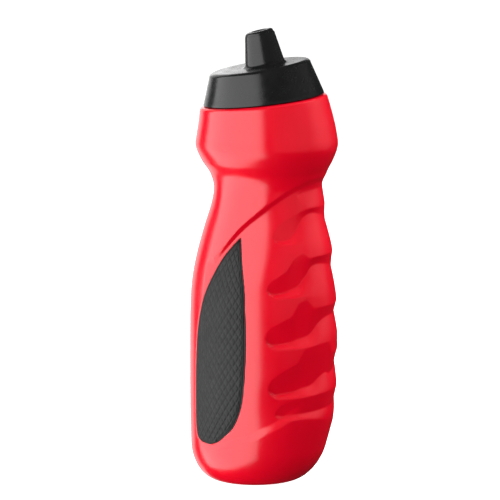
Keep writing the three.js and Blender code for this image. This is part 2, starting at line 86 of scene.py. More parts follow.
NECK_RADIUS = 23.8
NECK_BORE = 22
NECK_HEIGHT = 13.4
NECK_LIP = 0.6             # height of the lip's rounding
NECK_ROW = 0.22            # height of a row of points up the neck
NECK_ROOT_WALL = 1.5       # the wall thickens towards the neck's root
NECK_ROOT_START = 184
NECK_ROOT_RISE = 6
THREAD_LEAD = 5
THREAD_DEPTH = 1.05
THREAD_WIDTH = 1.9
THREAD_TURNS = 1.15
NECK_THREAD_START = 6
CAP_THREAD_START = 3.4
THREAD_FLANK = 0.3         # share of the thread's width that each flank takes
THREAD_RUN_OUT = 9         # turns go out over one part in so many

CAP_GAP = 0.3
CAP_RADIUS = 30.6
CAP_TOP_RADIUS = 25.3
CAP_HEIGHT = 17.4
CAP_WALL = 1.6
CAP_UNDERSIDE = 15.1
CAP_EDGE_RADIUS = 2.8
CAP_EDGE_RISE = 2.1
CAP_TOP_SLANT = 2.8
CAP_BEVEL = 0.3            # small roundings inside the cap
CAP_FOOT_BEVEL = 0.5
CAP_ROW = 0.25             # height of a row of points up the collar
SKIRT_HOLLOW_TOP = 7.6
COLLAR_BORE = 25.3
COLLAR_WALL = 1.3
COLLAR_END = 2.2
SPOUT_BASE = (2.5, 10.2, 9.4)
SPOUT_TIP = (1.3, 7.3, 6.6)
SPOUT_HEIGHT = 17.6
SPOUT_TIP_SLANT = 7
SPOUT_EDGE_RADIUS = 1.7
SPOUT_FILLET = 2
SPOUT_FILLET_SHARE = 0.11  # share of the spout's height that the fillet takes
SPOUT_MOUTH_RADIUS = 3.6
SPOUT_MOUTH_BEVEL = 0.5
SPOUT_MOUTH_DEPTH = 6
PASSAGE_TOP = 2.6          # the straight passage ends this far over the cap's top
VALVE_SEAT_RADIUS = 8
VALVE_SOCKET_WALL = 1.4
VALVE_SOCKET_END = 11.8
VALVE_SEAT = 17
PASSAGE_RADIUS = 6
VALVE_RIM = 1.2
VALVE_SKIN = 0.8
VALVE_RISE = 2.6           # the sleeve's height over the rim
VALVE_DISH = 1.6           # the membrane's middle under the sleeve's end
VALVE_SLOPE_RADIUS = 3.4
VALVE_SLOPE_DROP = 0.9
VALVE_EDGE = 0.6           # rounding at the sleeve's end
SLIT_REACH = 3.3
SLIT_DEPTH = 0.25
SLIT_WIDTH = 0.1
RETAINER_BORE = 4.6
WASHER_RADIUS = 24.6
PIECE_GAP = 0.3

PAD_FOOT = 21.5
PAD_TIP = 128.5
PAD_REST_DEPTH = 1.2       # the pad's underside lies this far under the skin
PAD_SINK = 0.1             # and its face this far
PAD_EDGE_RADIUS = 0.7
PAD_FACE_START = 104       # degrees: where the lozenges are counted from
THICKENING = 1.8           # the wall runs this much further in behind a pad
THICKENING_START = 9       # from so far outside the pad's outline
THICKENING_WIDTH = 5
MM_PER_DEGREE = 0.64       # round the grip, where the body is about 36.5 mm in radius

LIP_LEVEL_TO = 40          # degrees: a groove's lip keeps its height up to here
LIP_SIDE = 80              # degrees: where the lip has its side height
LOW_EDGE_SIDE = 60         # degrees: where the lower edge has its side height
BULGE_WIDTH = 9            # degrees over which a lip's bulge rises, and falls again
GROOVE_END_ROUNDING = 8    # degrees over which a groove's outline rounds off
GROOVE_END_SLOPE = 18      # degrees over which its floor comes up
GROOVE_SLOPE_CURVE = 1.3
GROOVE_WALL_CURVE = 0.2    # 0 for a straight upper wall, 1 for a quarter of a sine
GROOVE_DEPTH_SHARE = 0.6   # share of the depth that a groove has at the finger side
CREASE_WIDTH = 3.3
CREASE_FADE = (6, 34)      # the step fades this far under the edge, over this height
SHELF_START = 138          # degrees: the shelf's lowest place
SHELF_LINE = (17.6, 0.125, 0.00185)
SHELF_DEPTH = 1.3
SHELF_WIDTH = 4.6
SHELF_FADE = (7, 24)

# ---- the studio, in metres and degrees -----------------------------------------------------------

AIM_SIDE = -0.0069         # the camera looks this far to the side of the bottle's middle
AIM_RISE = 0.0022
FLOOR_RADIUS = 2.2
BACKDROP_HEIGHT = 4
FLOOR_POINTS = 96

# Softboxes: name, azimuth, elevation, distance, size, radiance, and whether they show in the gloss.
SOFTBOXES = [
    ("key_softbox", -60, -3, 0.9, (2.5, 2.3), 3.5, True),
    ("left_softbox", -157, 4, 0.9, (0.64, 1.6), 1.15, True),
    ("front_softbox", 38, 8, 0.9, (1.0, 0.6), 0.22, True),
    ("side_softbox", 92, 16, 0.9, (1.15, 0.9), 0.11, True),
    ("back_softbox", 183, 9, 1.1, (0.6, 0.4), 1.05, True),
    ("top_softbox", 60, 68, 1.0, (1.0, 1.0), 2.0, False),
    ("front_fill", 50, 15, 1.0, (1.0, 0.9), 0.5, False),
    ("side_fill", 112, 26, 1.0, (1.1, 1.1), 6.2, False),
]

# ---- small mathematics ---------------------------------------------------------------------------


def clamp01(t):
    return np.clip(t, 0.0, 1.0)


def ease(t):
    t = clamp01(t)
    return t * t * (3 - 2 * t)


def ramp(t):
    """A straight rise from 0 to 1 with its two corners lightly rounded."""
    t = clamp01(t)
    return 0.75 * t + 0.25 * ease(t)


def smooth_curve(knots):
    """A smooth function through knots of (position, value)."""
    at = np.array([k[0] for k in knots], float)
    value = np.array([k[1] for k in knots], float)
    before = np.maximum(np.arange(len(at)) - 1, 0)
    after = np.minimum(np.arange(len(at)) + 1, len(at) - 1)
    slope = (value[after] - value[before]) / (at[after] - at[before])

    def curve(position):
        i = np.clip(np.searchsorted(at, position, side="right") - 1, 0, len(at) - 2)
        span = at[i + 1] - at[i]
        t = clamp01((position - at[i]) / span)
        return (
            (2 * t**3 - 3 * t**2 + 1) * value[i]
            + (t**3 - 2 * t**2 + t) * span * slope[i]
            + (3 * t**2 - 2 * t**3) * value[i + 1]
            + (t**3 - t**2) * span * slope[i + 1]
        )

    return curve


# ---- the body's outer shape ----------------------------------------------------------------------
# A place on the body is (angle, height): degrees from the finger side, 0 at +X, 180 at -X.

front_reach = smooth_curve([
    (0, 36.1), (18, 37), (40, 37.5), (75, 37.5), (92, 37.2), (104, 36.2), (116, 33.9), (130, 30.1),
    (142, 26.4), (150, 25.3), (157, 27.1), (164, 31.6), (171, 34.4), (178, 33.9), (186, 33),
    (194, 32.3),
])
back_reach = smooth_curve([
    (0, 27.4), (18, 32.2), (34, 36.2), (47, 37.2), (70, 37.6), (92, 37.1), (118, 34.9), (135, 32.1),
    (147, 30.8), (152, 30.6), (158, 32.2), (164, 35.2), (171, 37.5), (178, 36.6), (185, 34.7),
    (194, 31.9),
])

# Finger grooves from the top: heights of the upper lip and of the lower edge, each at the finger
# side and at the flank; deepest cut; end angle; how far the lip bulges up, and the angles it does
# so between; and how far down the cut the valley lies, by angle, from 0 at the lip to 1 at the
# lower edge.
GROOVES = [
    ((156, 150), (142.5, 142.5), 0.9, 58, 0, (50, 60), [(0, 0.33), (60, 0.5)]),
    ((141.5, 133.5), (118.5, 124.5), 1.8, 84, 0, (50, 60),
     [(0, 0.33), (36, 0.15), (51, 0.25), (60, 0.57), (68, 0.82), (78, 0.82)]),
    ((117.5, 108.4), (94, 98.2), 2.7, 87.5, 4, (48, 64),
     [(0, 0.33), (33, 0.2), (46, 0.27), (53, 0.55), (60, 0.76), (78, 0.82)]),
    ((92, 85), (75, 72.4), 2.8, 88.5, 5.5, (46, 60),
     [(0, 0.33), (30, 0.33), (40, 0.45), (46, 0.62), (53, 0.78), (78, 0.82)]),
    ((67.5, 59.5), (49, 47.2), 2.9, 86, 6, (22, 55),
     [(0, 0.33), (20, 0.55), (38, 0.68), (45, 0.78), (53, 0.82), (78, 0.84)]),
    ((48, 43.6), (30.5, 36), 1.8, 80, 0, (30, 60),
     [(0, 0.33), (33, 0.6), (46, 0.7), (60, 0.76), (78, 0.78)]),
]


def rounding_off(past_end, width):
    """1 falling to 0 at an end along a quarter of an ellipse of the given width."""
    return np.sqrt(1 - clamp01((past_end + width) / width) ** 2)


def groove_depth(angle, height):
    """How deep the finger grooves cut in."""
    depth = np.zeros(np.broadcast(angle, height).shape)
    for lips, lows, deepest, end, bulge, bulging, valleys in GROOVES:
        drop = clamp01((angle - LIP_LEVEL_TO) / (LIP_SIDE - LIP_LEVEL_TO)) ** 2
        drop = drop + np.maximum(angle - LIP_SIDE, 0) / LIP_SIDE
        rise = ease((angle - bulging[0]) / BULGE_WIDTH)
        fall = ease((angle - bulging[1]) / BULGE_WIDTH)
        raised = bulge * rise * (1 - fall)
        lip = lips[0] + (lips[1] - lips[0]) * drop + raised
        low = lows[0] + (lows[1] - lows[0]) * ease(angle / LOW_EDGE_SIDE)
        closing = rounding_off(angle - end, GROOVE_END_ROUNDING)
        half = np.maximum((lip - low) / 2 * closing, 1e-6)
        end_slope = rounding_off(angle - end, GROOVE_END_SLOPE)
        across = clamp01(((lip + low) / 2 + half - height) / (2 * half))
        valley = smooth_curve(valleys)(angle)
        wall = clamp01(across / valley)
        slope = clamp01((1 - across) / (1 - valley))
        bent = np.sin(np.pi / 2 * wall)
        upper = (1 - GROOVE_WALL_CURVE) * wall + GROOVE_WALL_CURVE * bent
        scoop = np.where(across < valley, upper, slope**GROOVE_SLOPE_CURVE)
        reach = GROOVE_DEPTH_SHARE + (1 - GROOVE_DEPTH_SHARE) * ease((angle - 15) / 45)
        depth += np.where(half < 0.1, 0, deepest * reach * end_slope * scoop)
    return depth


# The cowl's edge sweeps from the finger side of the waist down to the pad's tip. Under it the
# surface steps in, and comes out again further down.
cowl_height = smooth_curve([
    (0, 157), (40, 156.4), (62, 153.2), (82, 147.8), (102, 140.2), (119, 131.4), (138, 117),
])
cowl_depth = smooth_curve([
    (0, 0.4), (40, 0.65), (80, 1.8), (110, 2.4), (128, 2.2), (137, 1.3), (146, 0),
])


def cowl_step(angle, height):
    """How far the surface steps in under the cowl's edge."""
    below = cowl_height(angle) - height
    fade = 1 - ease((below - CREASE_FADE[0]) / CREASE_FADE[1])
    return cowl_depth(angle) * ramp(below / CREASE_WIDTH) * fade


def shelf_step(angle, height):
    """The step of the shelf under the grip, where the foot bulges out again."""
    turn = SHELF_START - angle
    above = height - (SHELF_LINE[0] + SHELF_LINE[1] * turn + SHELF_LINE[2] * turn**2)
    reach = ease((angle - 50) / 25) * (1 - ease((angle - 128) / 26))
    fade = 1 - ease((above - SHELF_FADE[0]) / SHELF_FADE[1])
    return SHELF_DEPTH * reach * ramp(above / SHELF_WIDTH) * fade


def foot_inset(height):
    """How far the foot rounds in."""
    return BASE_INSET * (1 - np.sqrt(1 - clamp01(1 - height / BASE_ROUNDING) ** 2))


# The pad's outline: the angles of its two edges at each height.
pad_back_edge = smooth_curve([
    (21.5, 138), (23, 129.5), (27, 121.3), (31, 114.9), (36, 110.7), (43, 107.1), (50, 105.4),
    (62, 104), (78, 103.5), (92, 104), (102, 104.9), (110, 107.4), (118, 110.8), (128.5, 115.4),
])
pad_front_edge = smooth_curve([
    (21.5, 138), (22.5, 149), (25, 154.3), (31, 156.7), (50, 156.9), (65, 156), (78, 153.8),
    (90, 149.2), (100, 143.8), (110, 137.3), (118, 130.6), (124, 122.8), (128.5, 115.4),
])


def inside_pad(angle, height):
    """How far a place lies inside the grip pad's outline, roughly in millimetres."""
    across = np.minimum(angle - pad_back_edge(height), pad_front_edge(height) - angle)
    return np.minimum(across * MM_PER_DEGREE, np.minimum(height - PAD_FOOT, PAD_TIP - height))


def edge_distance(angle, height):
    """How far a place lies inside the grip pad's outline, square to the outline, in millimetres."""
    step = 0.05
    by_angle = inside_pad(angle + step, height) - inside_pad(angle - step, height)
    by_height = inside_pad(angle, height + step) - inside_pad(angle, height - step)
    steepness = np.hypot(by_angle / MM_PER_DEGREE, by_height) / (2 * step)
    return inside_pad(angle, height) / np.maximum(steepness, 0.45)


def body_points(turn, height, under=0.0):
    """Points on the body's surface, or a depth under it, in metres."""
    angle = np.abs(turn)
    carved = groove_depth(angle, height) + cowl_step(angle, height) + shelf_step(angle, height)
    front = front_reach(height) - foot_inset(height)
    back = back_reach(height) - foot_inset(height)
    reach = (front + back) / 2 - carved - under
    tilt = np.radians(NECK_TILT) * ease((height - LEAN_START) / (RIM_HEIGHT - LEAN_START))
    along = reach * np.cos(np.radians(turn))
    x = (back - front) / 2 + along * np.cos(tilt)
    y = -reach * np.sin(np.radians(turn))
    z = height + along * np.sin(tilt)
    return np.stack(np.broadcast_arrays(x, y, z), -1) * MM


# ---- the neck's own frame ------------------------------------------------------------------------

NECK = Matrix.Translation((RIM_OFFSET * MM, 0, RIM_HEIGHT * MM)) @ Matrix.Rotation(
    math.radians(-NECK_TILT), 4, "Y"
)
NECK_TURN = np.array(NECK.to_3x3())
NECK_PLACE = np.array(NECK.translation)


def on_neck(x, y, z):
    """Points given in the neck's frame, in the bottle's frame and in metres."""
    points = np.stack(np.broadcast_arrays(x, y, z), -1) * MM
    return points @ NECK_TURN.T + NECK_PLACE


def turns_round(count):
    """Angles round a ring in degrees, from -180."""
    return np.arange(count) * 360 / count - 180


def oval(count, half_length, half_width, z, slant=0.0, x=0.0):
    """A ring in the neck's frame, centred on x and leaning by a slant in degrees."""
    turn = np.radians(turns_round(count))
    along = half_length * np.cos(turn)
    lean = math.radians(slant)
    x, z = x + along * math.cos(lean), z + along * math.sin(lean)
    return on_neck(x, -half_width * np.sin(turn), z)


def thread_height(turn, z, start):
    """0 between the thread's turns and 1 on its crest."""
    crest = np.zeros(np.broadcast(turn, z).shape)
    for whole in range(2):
        along = (-turn % 360) / 360 + whole
        away = np.abs(z - start - THREAD_LEAD * along)
        flank = clamp01((THREAD_WIDTH / 2 - away) / (THREAD_WIDTH * THREAD_FLANK))
        run_out = clamp01(np.minimum(along, THREAD_TURNS - along) * THREAD_RUN_OUT)
        crest = np.maximum(crest, flank * run_out)
    return crest


# ---- mesh helpers --------------------------------------------------------------------------------


def ring_faces(rings, count, looped):
    """Quads between neighbouring rings, and from the last to the first where they loop."""
    here = np.arange(rings if looped else rings - 1)[:, None] * count
    there = (here + count) % (rings * count)
    i = np.arange(count)[None, :]
    j = (i + 1) % count
    return np.stack([here + i, here + j, there + j, there + i], -1).reshape(-1, 4).tolist()


def lofted(name, rings, material, looped=False, sharp=None):
    """A closed skin over rings of points; ends that don't loop close on their middle points."""
    count = len(rings[0])
    points = np.concatenate(rings)
    faces = ring_faces(len(rings), count, looped)
    if not looped:
        ends = np.stack([rings[0].mean(0), rings[-1].mean(0)])
        low, high = len(points), len(points) + 1
        points = np.concatenate([points, ends])
        last = (len(rings) - 1) * count
        for i in range(count):
            j = (i + 1) % count
            faces.append([low, j, i, i])
            faces.append([high, last + i, last + j, last + j])
    faces = [f if f[2] != f[3] else f[:3] for f in faces]
    return add_mesh(name, points, faces, material, sharp)


def add_mesh(name, points, faces, material, sharp):
    """A smooth-shaded mesh of three- and four-cornered faces that point outwards."""
    padded = [f if len(f) == 4 else [*f, f[-1]] for f in faces]
    corners = np.asarray(points)
    a, b, c, d = (corners[[f[k] for f in padded]] for k in range(4))
    volume = np.einsum("ij,ij->", a, np.cross(b, c)) + np.einsum("ij,ij->", a, np.cross(c, d))
    if volume < 0:
        faces = [f[::-1] for f in faces]
    mesh = bpy.data.meshes.new(name)
    mesh.from_pydata(corners.tolist(), [], faces)
    mesh.update()
    mesh.shade_smooth()
    if sharp:
        mesh.set_sharp_from_angle(angle=math.radians(sharp))
    mesh.materials.append(material)
    piece = bpy.data.objects.new(name, mesh)
    bpy.context.scene.collection.objects.link(piece)
    return piece


def rounded_profile(corners, radius, steps=5):
    """A closed profile of (radius, z) corners with each corner rounded where there is room."""
    points = []
    count = len(corners)
    for i in range(count):
        here = np.array(corners[i], float)
        before = np.array(corners[i - 1], float) - here
        after = np.array(corners[(i + 1) % count], float) - here
        on_axis = corners[i][0] == 0
        cut = min(radius, np.linalg.norm(before) * 0.45, np.linalg.norm(after) * 0.45)
        if on_axis or cut < 0.02:
            points.append(here)
            continue
        start = here + before / np.linalg.norm(before) * cut
        stop = here + after / np.linalg.norm(after) * cut
        for s in range(steps + 1):
            t = s / steps
            points.append((1 - t) ** 2 * start + 2 * t * (1 - t) * here + t**2 * stop)
    return points


def turned(name, corners, radius, material, count=96):
    """A turned piece standing in the neck's frame, from a closed profile of (radius, z)."""
    profile = [(max(r, 0.02), z) for r, z in rounded_profile(corners, radius)]
    rings = [oval(count, r, r, z) for r, z in profile]
    return lofted(name, rings, material, looped=corners[0][0] > 0, sharp=60)


# ---- materials -----------------------------------------------------------------------------------


def new_material(name, color, roughness, specular=0.5):
    material = bpy.data.materials.new(name)
    material.use_nodes = True
    shader = material.node_tree.nodes["Principled BSDF"]
    shader.inputs["Base Color"].default_value = (*color, 1)
    shader.inputs["Roughness"].default_value = roughness
    shader.inputs["Specular IOR Level"].default_value = specular
    return material, shader


def noise(material, scale, detail=3.0, stretch=(1, 1, 1)):
    """A noise texture in object space, in turns per metre."""
    nodes, links = material.node_tree.nodes, material.node_tree.links
    place = nodes.new("ShaderNodeTexCoord")
    mapping = nodes.new("ShaderNodeMapping")
    mapping.inputs["Scale"].default_value = stretch
    texture = nodes.new("ShaderNodeTexNoise")
    texture.inputs["Scale"].default_value = scale
    texture.inputs["Detail"].default_value = detail
    links.new(place.outputs["Object"], mapping.inputs["Vector"])
    links.new(mapping.outputs["Vector"], texture.inputs["Vector"])
    return texture.outputs["Fac"]


def ranged(material, value, low, high, from_low=0.3, from_high=0.7):
    """A value's middle range spread from low to high."""
    nodes, links = material.node_tree.nodes, material.node_tree.links
    node = nodes.new("ShaderNodeMapRange")
    node.inputs["From Min"].default_value = from_low
    node.inputs["From Max"].default_value = from_high
    node.inputs["To Min"].default_value = low
    node.inputs["To Max"].default_value = high
    links.new(value, node.inputs["Value"])
    return node.outputs["Result"]


def two_tone(material, value, dark, light):
    nodes, links = material.node_tree.nodes, material.node_tree.links
    node = nodes.new("ShaderNodeMix")
    node.data_type = "RGBA"
    node.inputs["A"].default_value = (*dark, 1)
    node.inputs["B"].default_value = (*light, 1)
    links.new(value, node.inputs["Factor"])
    return node.outputs["Result"]


def bump(material, shader, layers):
    """Chains bump layers of (height value, strength, distance in metres) into the shader."""
    nodes, links = material.node_tree.nodes, material.node_tree.links
    normal = None
    for height, strength, distance in layers:
        node = nodes.new("ShaderNodeBump")
        node.inputs["Strength"].default_value = strength
        node.inputs["Distance"].default_value = distance
        links.new(height, node.inputs["Height"])
        if normal:
            links.new(normal, node.inputs["Normal"])
        normal = node.outputs["Normal"]
    links.new(normal, shader.inputs["Normal"])


def shade(color, factor):
    return tuple(c * factor for c in color)


def body_plastic(props):
    """Satin squeeze plastic: a soft skin with faint flow marks and a fine orange peel."""
    material, shader = new_material("red_squeeze_plastic", props.color, props.roughness)
    links = material.node_tree.links
    shader.inputs["Subsurface Weight"].default_value = props.softness
    shader.inputs["Subsurface Radius"].default_value = (1.0, 0.15, 0.1)
    shader.inputs["Subsurface Scale"].default_value = 0.0012
    tone = ranged(material, noise(material, 45, 4), 0, 1)
    links.new(two_tone(material, tone, shade(props.color, 0.96), shade(props.color, 1.03)),
              shader.inputs["Base Color"])
    rough = ranged(material, noise(material, 160, 5, (1, 1, 0.3)), props.roughness - 0.03,
                   props.roughness + 0.04)
    links.new(rough, shader.inputs["Roughness"])
    bump(material, shader, [
        (noise(material, 900, 2), 0.05, 0.0001),
        (noise(material, 120, 2, (1, 1, 0.4)), 0.06, 0.0003),
    ])
    return material


def cap_plastic(props):
    """Injection-moulded plastic with a fine spark-eroded skin."""
    material, shader = new_material("black_cap_plastic", props.color, props.roughness, 0.34)
    links = material.node_tree.links
    tone = ranged(material, noise(material, 60, 3), 0, 1)
    links.new(two_tone(material, tone, shade(props.color, 0.85), shade(props.color, 1.2)),
              shader.inputs["Base Color"])
    rough = ranged(material, noise(material, 240, 4), props.roughness - 0.04,
                   props.roughness + 0.05)
    links.new(rough, shader.inputs["Roughness"])
    bump(material, shader, [(noise(material, 2600, 2), 0.05, 0.00005)])
    return material


def grip_rubber(props):
    """Matt overmoulded rubber with a dry, slightly dusty bloom."""
    material, shader = new_material("grip_rubber", props.color, props.roughness, 0.22)
    links = material.node_tree.links
    bloom = ranged(material, noise(material, 220, 5), 0, 1)
    links.new(two_tone(material, bloom, shade(props.color, 0.8), shade(props.color, 1.25)),
              shader.inputs["Base Color"])
    rough = ranged(material, noise(material, 500, 4), props.roughness - 0.06,
                   props.roughness + 0.08)
    links.new(rough, shader.inputs["Roughness"])
    bump(material, shader, [(noise(material, 3500, 3), 0.25, 0.00006)])
    return material


def silicone(props):
    """Clear silicone, milky in its thickness."""
    material, shader = new_material("clear_silicone", props.silicone_color, 0.38, 0.5)
    shader.inputs["Subsurface Weight"].default_value = 0.5
    shader.inputs["Subsurface Radius"].default_value = (1, 1, 1)
    shader.inputs["Subsurface Scale"].default_value = 0.002
    bump(material, shader, [(noise(material, 1500, 2), 0.08, 0.00005)])
    return material


def retainer_plastic(props):
    """Natural polypropylene with faint moulding swirls."""
    material, shader = new_material("natural_plastic", props.retainer_color, 0.42, 0.5)
    swirl = ranged(material, noise(material, 300, 4), 0.36, 0.5)
    material.node_tree.links.new(swirl, shader.inputs["Roughness"])
    bump(material, shader, [(noise(material, 1200, 3), 0.1, 0.00005)])
    return material


# ---- settings ------------------------------------------------------------------------------------


class BodySettings(bpy.types.PropertyGroup):
    """The blow-moulded body."""

    around: IntProperty(name="Points round", description="Points round the body", default=400,
                        min=60)
    row: FloatProperty(name="Row height", description="Height of a row of the skin, in millimetres",
                       default=0.5, min=0.2)
    color: FloatVectorProperty(name="Colour", description="Colour of the body", subtype="COLOR",
                               size=3, default=(0.55, 0.0005, 0.011), min=0, max=1)
    roughness: FloatProperty(name="Roughness", description="Roughness of the skin", default=0.22,
                             subtype="FACTOR", min=0, max=1)
    softness: FloatProperty(name="Softness", description="Light scattered inside the wall",
                            default=0.15, subtype="FACTOR", min=0, max=1)
    recess: FloatProperty(name="Recess depth", description="Depth of the grip pad's recess",
                          default=1.3 * MM, unit="LENGTH", subtype="DISTANCE")


class PadSettings(bpy.types.PropertyGroup):
    """The two rubber grip pads."""

    columns: IntProperty(name="Columns", description="Columns across a pad", default=130, min=20)
    rows: IntProperty(name="Rows", description="Rows up a pad", default=330, min=40)
    lozenge: FloatVectorProperty(name="Lozenge", description="Width and height of a lozenge",
                                 size=2, default=(3.4 * MM, 5.2 * MM), unit="LENGTH",
                                 subtype="XYZ_LENGTH")
    relief: FloatProperty(name="Relief", description="Height of the lozenges", default=0.34 * MM,
                          unit="LENGTH", subtype="DISTANCE")
    border: FloatProperty(name="Border", description="Width of the plain border", default=1.9 * MM,
                          unit="LENGTH", subtype="DISTANCE")
    color: FloatVectorProperty(name="Colour", description="Colour of the rubber", subtype="COLOR",
                               size=3, default=(0.006, 0.0062, 0.0062), min=0, max=1)
    roughness: FloatProperty(name="Roughness", description="Roughness of the rubber", default=0.5,
                             subtype="FACTOR", min=0, max=1)


class CapSettings(bpy.types.PropertyGroup):
    """The screw cap and what it holds."""

    around: IntProperty(name="Points round", description="Points round the cap", default=200,
                        min=40)
    color: FloatVectorProperty(name="Colour", description="Colour of the cap", subtype="COLOR",
                               size=3, default=(0.006, 0.006, 0.0062), min=0, max=1)
    roughness: FloatProperty(name="Roughness", description="Roughness of the cap", default=0.24,
                             subtype="FACTOR", min=0, max=1)
    silicone_color: FloatVectorProperty(name="Silicone", subtype="COLOR", size=3,
                                        description="Colour of the valve and washer",
                                        default=(0.72, 0.73, 0.74), min=0, max=1)
    retainer_color: FloatVectorProperty(name="Retainer", subtype="COLOR", size=3,
                                        description="Colour of the retaining ring",
                                        default=(0.78, 0.78, 0.75), min=0, max=1)


class StageSettings(bpy.types.PropertyGroup):
    """Camera, floor and lights."""

    elevation: FloatProperty(name="Elevation", description="Camera's height above the horizon",
                             default=math.radians(9.0), subtype="ANGLE")
    distance: FloatProperty(name="Distance", description="Camera's distance", default=1.8,
                            unit="LENGTH")
    view_width: FloatProperty(name="View width", description="Width of the view at the bottle",
                              default=0.2535, unit="LENGTH")
    floor_color: FloatVectorProperty(name="Floor", description="Colour of the floor", size=3,
                                     subtype="COLOR", default=(0.9, 0.9, 0.9), min=0, max=1)
    glow: FloatProperty(name="Floor glow", description="Light the backdrop gives off itself",
                        default=1.0)
    ambient: FloatProperty(name="Ambient", description="Strength of the surrounding light",
                           default=0.02)


# ---- operators -----------------------------------------------------------------------------------


def body_skin_rows(props):
    """Heights of the body's rows, closer together where the foot rounds in."""
    foot = BASE_ROUNDING * (1 - np.cos(np.linspace(0, np.pi / 2, 30)))
    straight = np.arange(BASE_ROUNDING + props.row, RIM_HEIGHT - RIM_EDGE_RADIUS, props.row)
    return np.concatenate([foot, straight, [RIM_HEIGHT - RIM_EDGE_RADIUS]])


def recessed_skin(props):
    """The outer skin, sinking just inside the edges of the two pads."""
    rows, turns = body_skin_rows(props), turns_round(props.around)
    height, turn = np.broadcast_arrays(rows[:, None], turns[None, :])
    sink = props.recess / MM * ease((edge_distance(np.abs(turn), height) - 0.1) / 0.8)
    return body_points(turn, height, sink)


class BOTTLE_OT_body(bpy.types.Operator):
    """Build the blow-moulded body with its foot, grooves, recesses, shoulder and threaded neck"""

    bl_idname = "bottle.body"
    bl_label = "Body"

    def execute(self, context):
        props = context.scene.bottle_body
        count = props.around
        turns = turns_round(count)
        skin = recessed_skin(props)
        foot = skin[0]
        centre = foot.mean(0)

        def foot_ring(share, height):
            ring = centre + (foot - centre) * share
            ring[:, 2] = height * MM
            return ring

        rings = [foot_ring(share, height) for share, height in PUSH_UP_PROFILE]
        rings += list(skin)
        for bend in np.linspace(0, np.pi / 2, 9)[1:]:
            inward = RIM_EDGE_RADIUS * (1 - math.cos(bend))
            height = RIM_HEIGHT - RIM_EDGE_RADIUS * (1 - math.sin(bend))
            rings.append(body_points(turns, height, inward))
        # Up the neck and its thread, over the lip and down the bore.
        rings.append(oval(count, NECK_RADIUS + 1.4, NECK_RADIUS + 1.4, 0))
        rings.append(oval(count, NECK_RADIUS + 0.5, NECK_RADIUS + 0.5, 0.35))
        for z in np.arange(1.0, NECK_HEIGHT - NECK_LIP, NECK_ROW):
            radius = NECK_RADIUS + THREAD_DEPTH * thread_height(turns, z, NECK_THREAD_START)
            rings.append(oval(count, radius, radius, z))
        lip = (NECK_RADIUS - NECK_BORE) / 2
        for bend in np.linspace(0, np.pi, 11):
            radius = (NECK_RADIUS + NECK_BORE) / 2 + lip * math.cos(bend)
            z = NECK_HEIGHT - NECK_LIP + NECK_LIP * math.sin(bend)
            rings.append(oval(count, radius, radius, z))
        rings.append(oval(count, NECK_BORE, NECK_BORE, 5))
        rings.append(oval(count, NECK_BORE + 0.1, NECK_BORE + 0.1, -1.5))
        # Down the inside of the wall to the inside of the foot.
        for height in np.linspace(RIM_HEIGHT - 4, BASE_ROUNDING, 60):
            inside = inside_pad(np.abs(turns), height)
            behind = THICKENING * ease((inside + THICKENING_START) / THICKENING_WIDTH)
            root = NECK_ROOT_WALL * ease((height - NECK_ROOT_START) / NECK_ROOT_RISE)
            rings.append(body_points(turns, height, WALL + behind + root))
        for height in BASE_ROUNDING * (1 - np.cos(np.linspace(np.pi / 2, 0.75, 12)))[1:]:
            rings.append(body_points(turns, height + WALL, WALL))
        for share in (0.8, 0.5, 0.2):
            rings.append(foot_ring(share, WALL + BASE_PUSH_UP))
        body = lofted("squeeze_body", rings, body_plastic(props))
        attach(body, "bottle")
        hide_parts("bottle_body")
        return {"FINISHED"}


def pad_relief(props, angle, height, inside):
    """Height of the pad's skin: staggered lozenges in a plain border with a thin line round it."""
    wide, tall = props.lozenge[0] / MM, props.lozenge[1] / MM
    along = (angle - PAD_FACE_START) * MM_PER_DEGREE / wide
    up = (height - PAD_FOOT) / tall
    first = np.abs((along + up) % 1 - 0.5)
    second = np.abs((along - up) % 1 - 0.5)
    pillow = ease((0.5 - np.maximum(first, second)) / 0.2)
    field = ease((inside - props.border / MM) / 0.6)
    groove = np.exp(-(((inside - props.border / MM * 0.6) / 0.28) ** 2))
    return props.relief / MM * (pillow * field - 0.9 * groove)


class BOTTLE_OT_grip_pads(bpy.types.Operator):
    """Build the two rubber pads with their lozenge pattern"""

    bl_idname = "bottle.grip_pads"
    bl_label = "Grip pads"

    def execute(self, context):
        props = context.scene.bottle_pads
        rubber = grip_rubber(props)
        share = (1 - np.cos(np.linspace(0, np.pi, props.rows)))[:, None] / 2
        height = PAD_FOOT + 0.02 + (PAD_TIP - PAD_FOOT - 0.04) * share
        across = (1 - np.cos(np.linspace(0, np.pi, props.columns)))[None, :] / 2
        across = across * 0.35 + np.linspace(0, 1, props.columns)[None, :] * 0.65
        back, front = pad_back_edge(height), pad_front_edge(height)
        angle = back + (front - back) * across
        height = np.broadcast_to(height, angle.shape)
        inside = edge_distance(angle, height)
        edge = PAD_EDGE_RADIUS * (1 - np.sqrt(1 - clamp01(1 - inside / PAD_EDGE_RADIUS) ** 2))
        top = -PAD_SINK + pad_relief(props, angle, height, inside) - edge
        pads = (("grip_pad_left", "grip_panel_left", 1), ("grip_pad_right", "grip_panel_right", -1))
        for name, node, side in pads:
            outer = body_points(side * angle, height, -top)
            inner = body_points(side * angle, height, PAD_REST_DEPTH)
            pad = sheet_solid(name, outer, inner, rubber)
            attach(pad, "bottle")
            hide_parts(node)
        return {"FINISHED"}


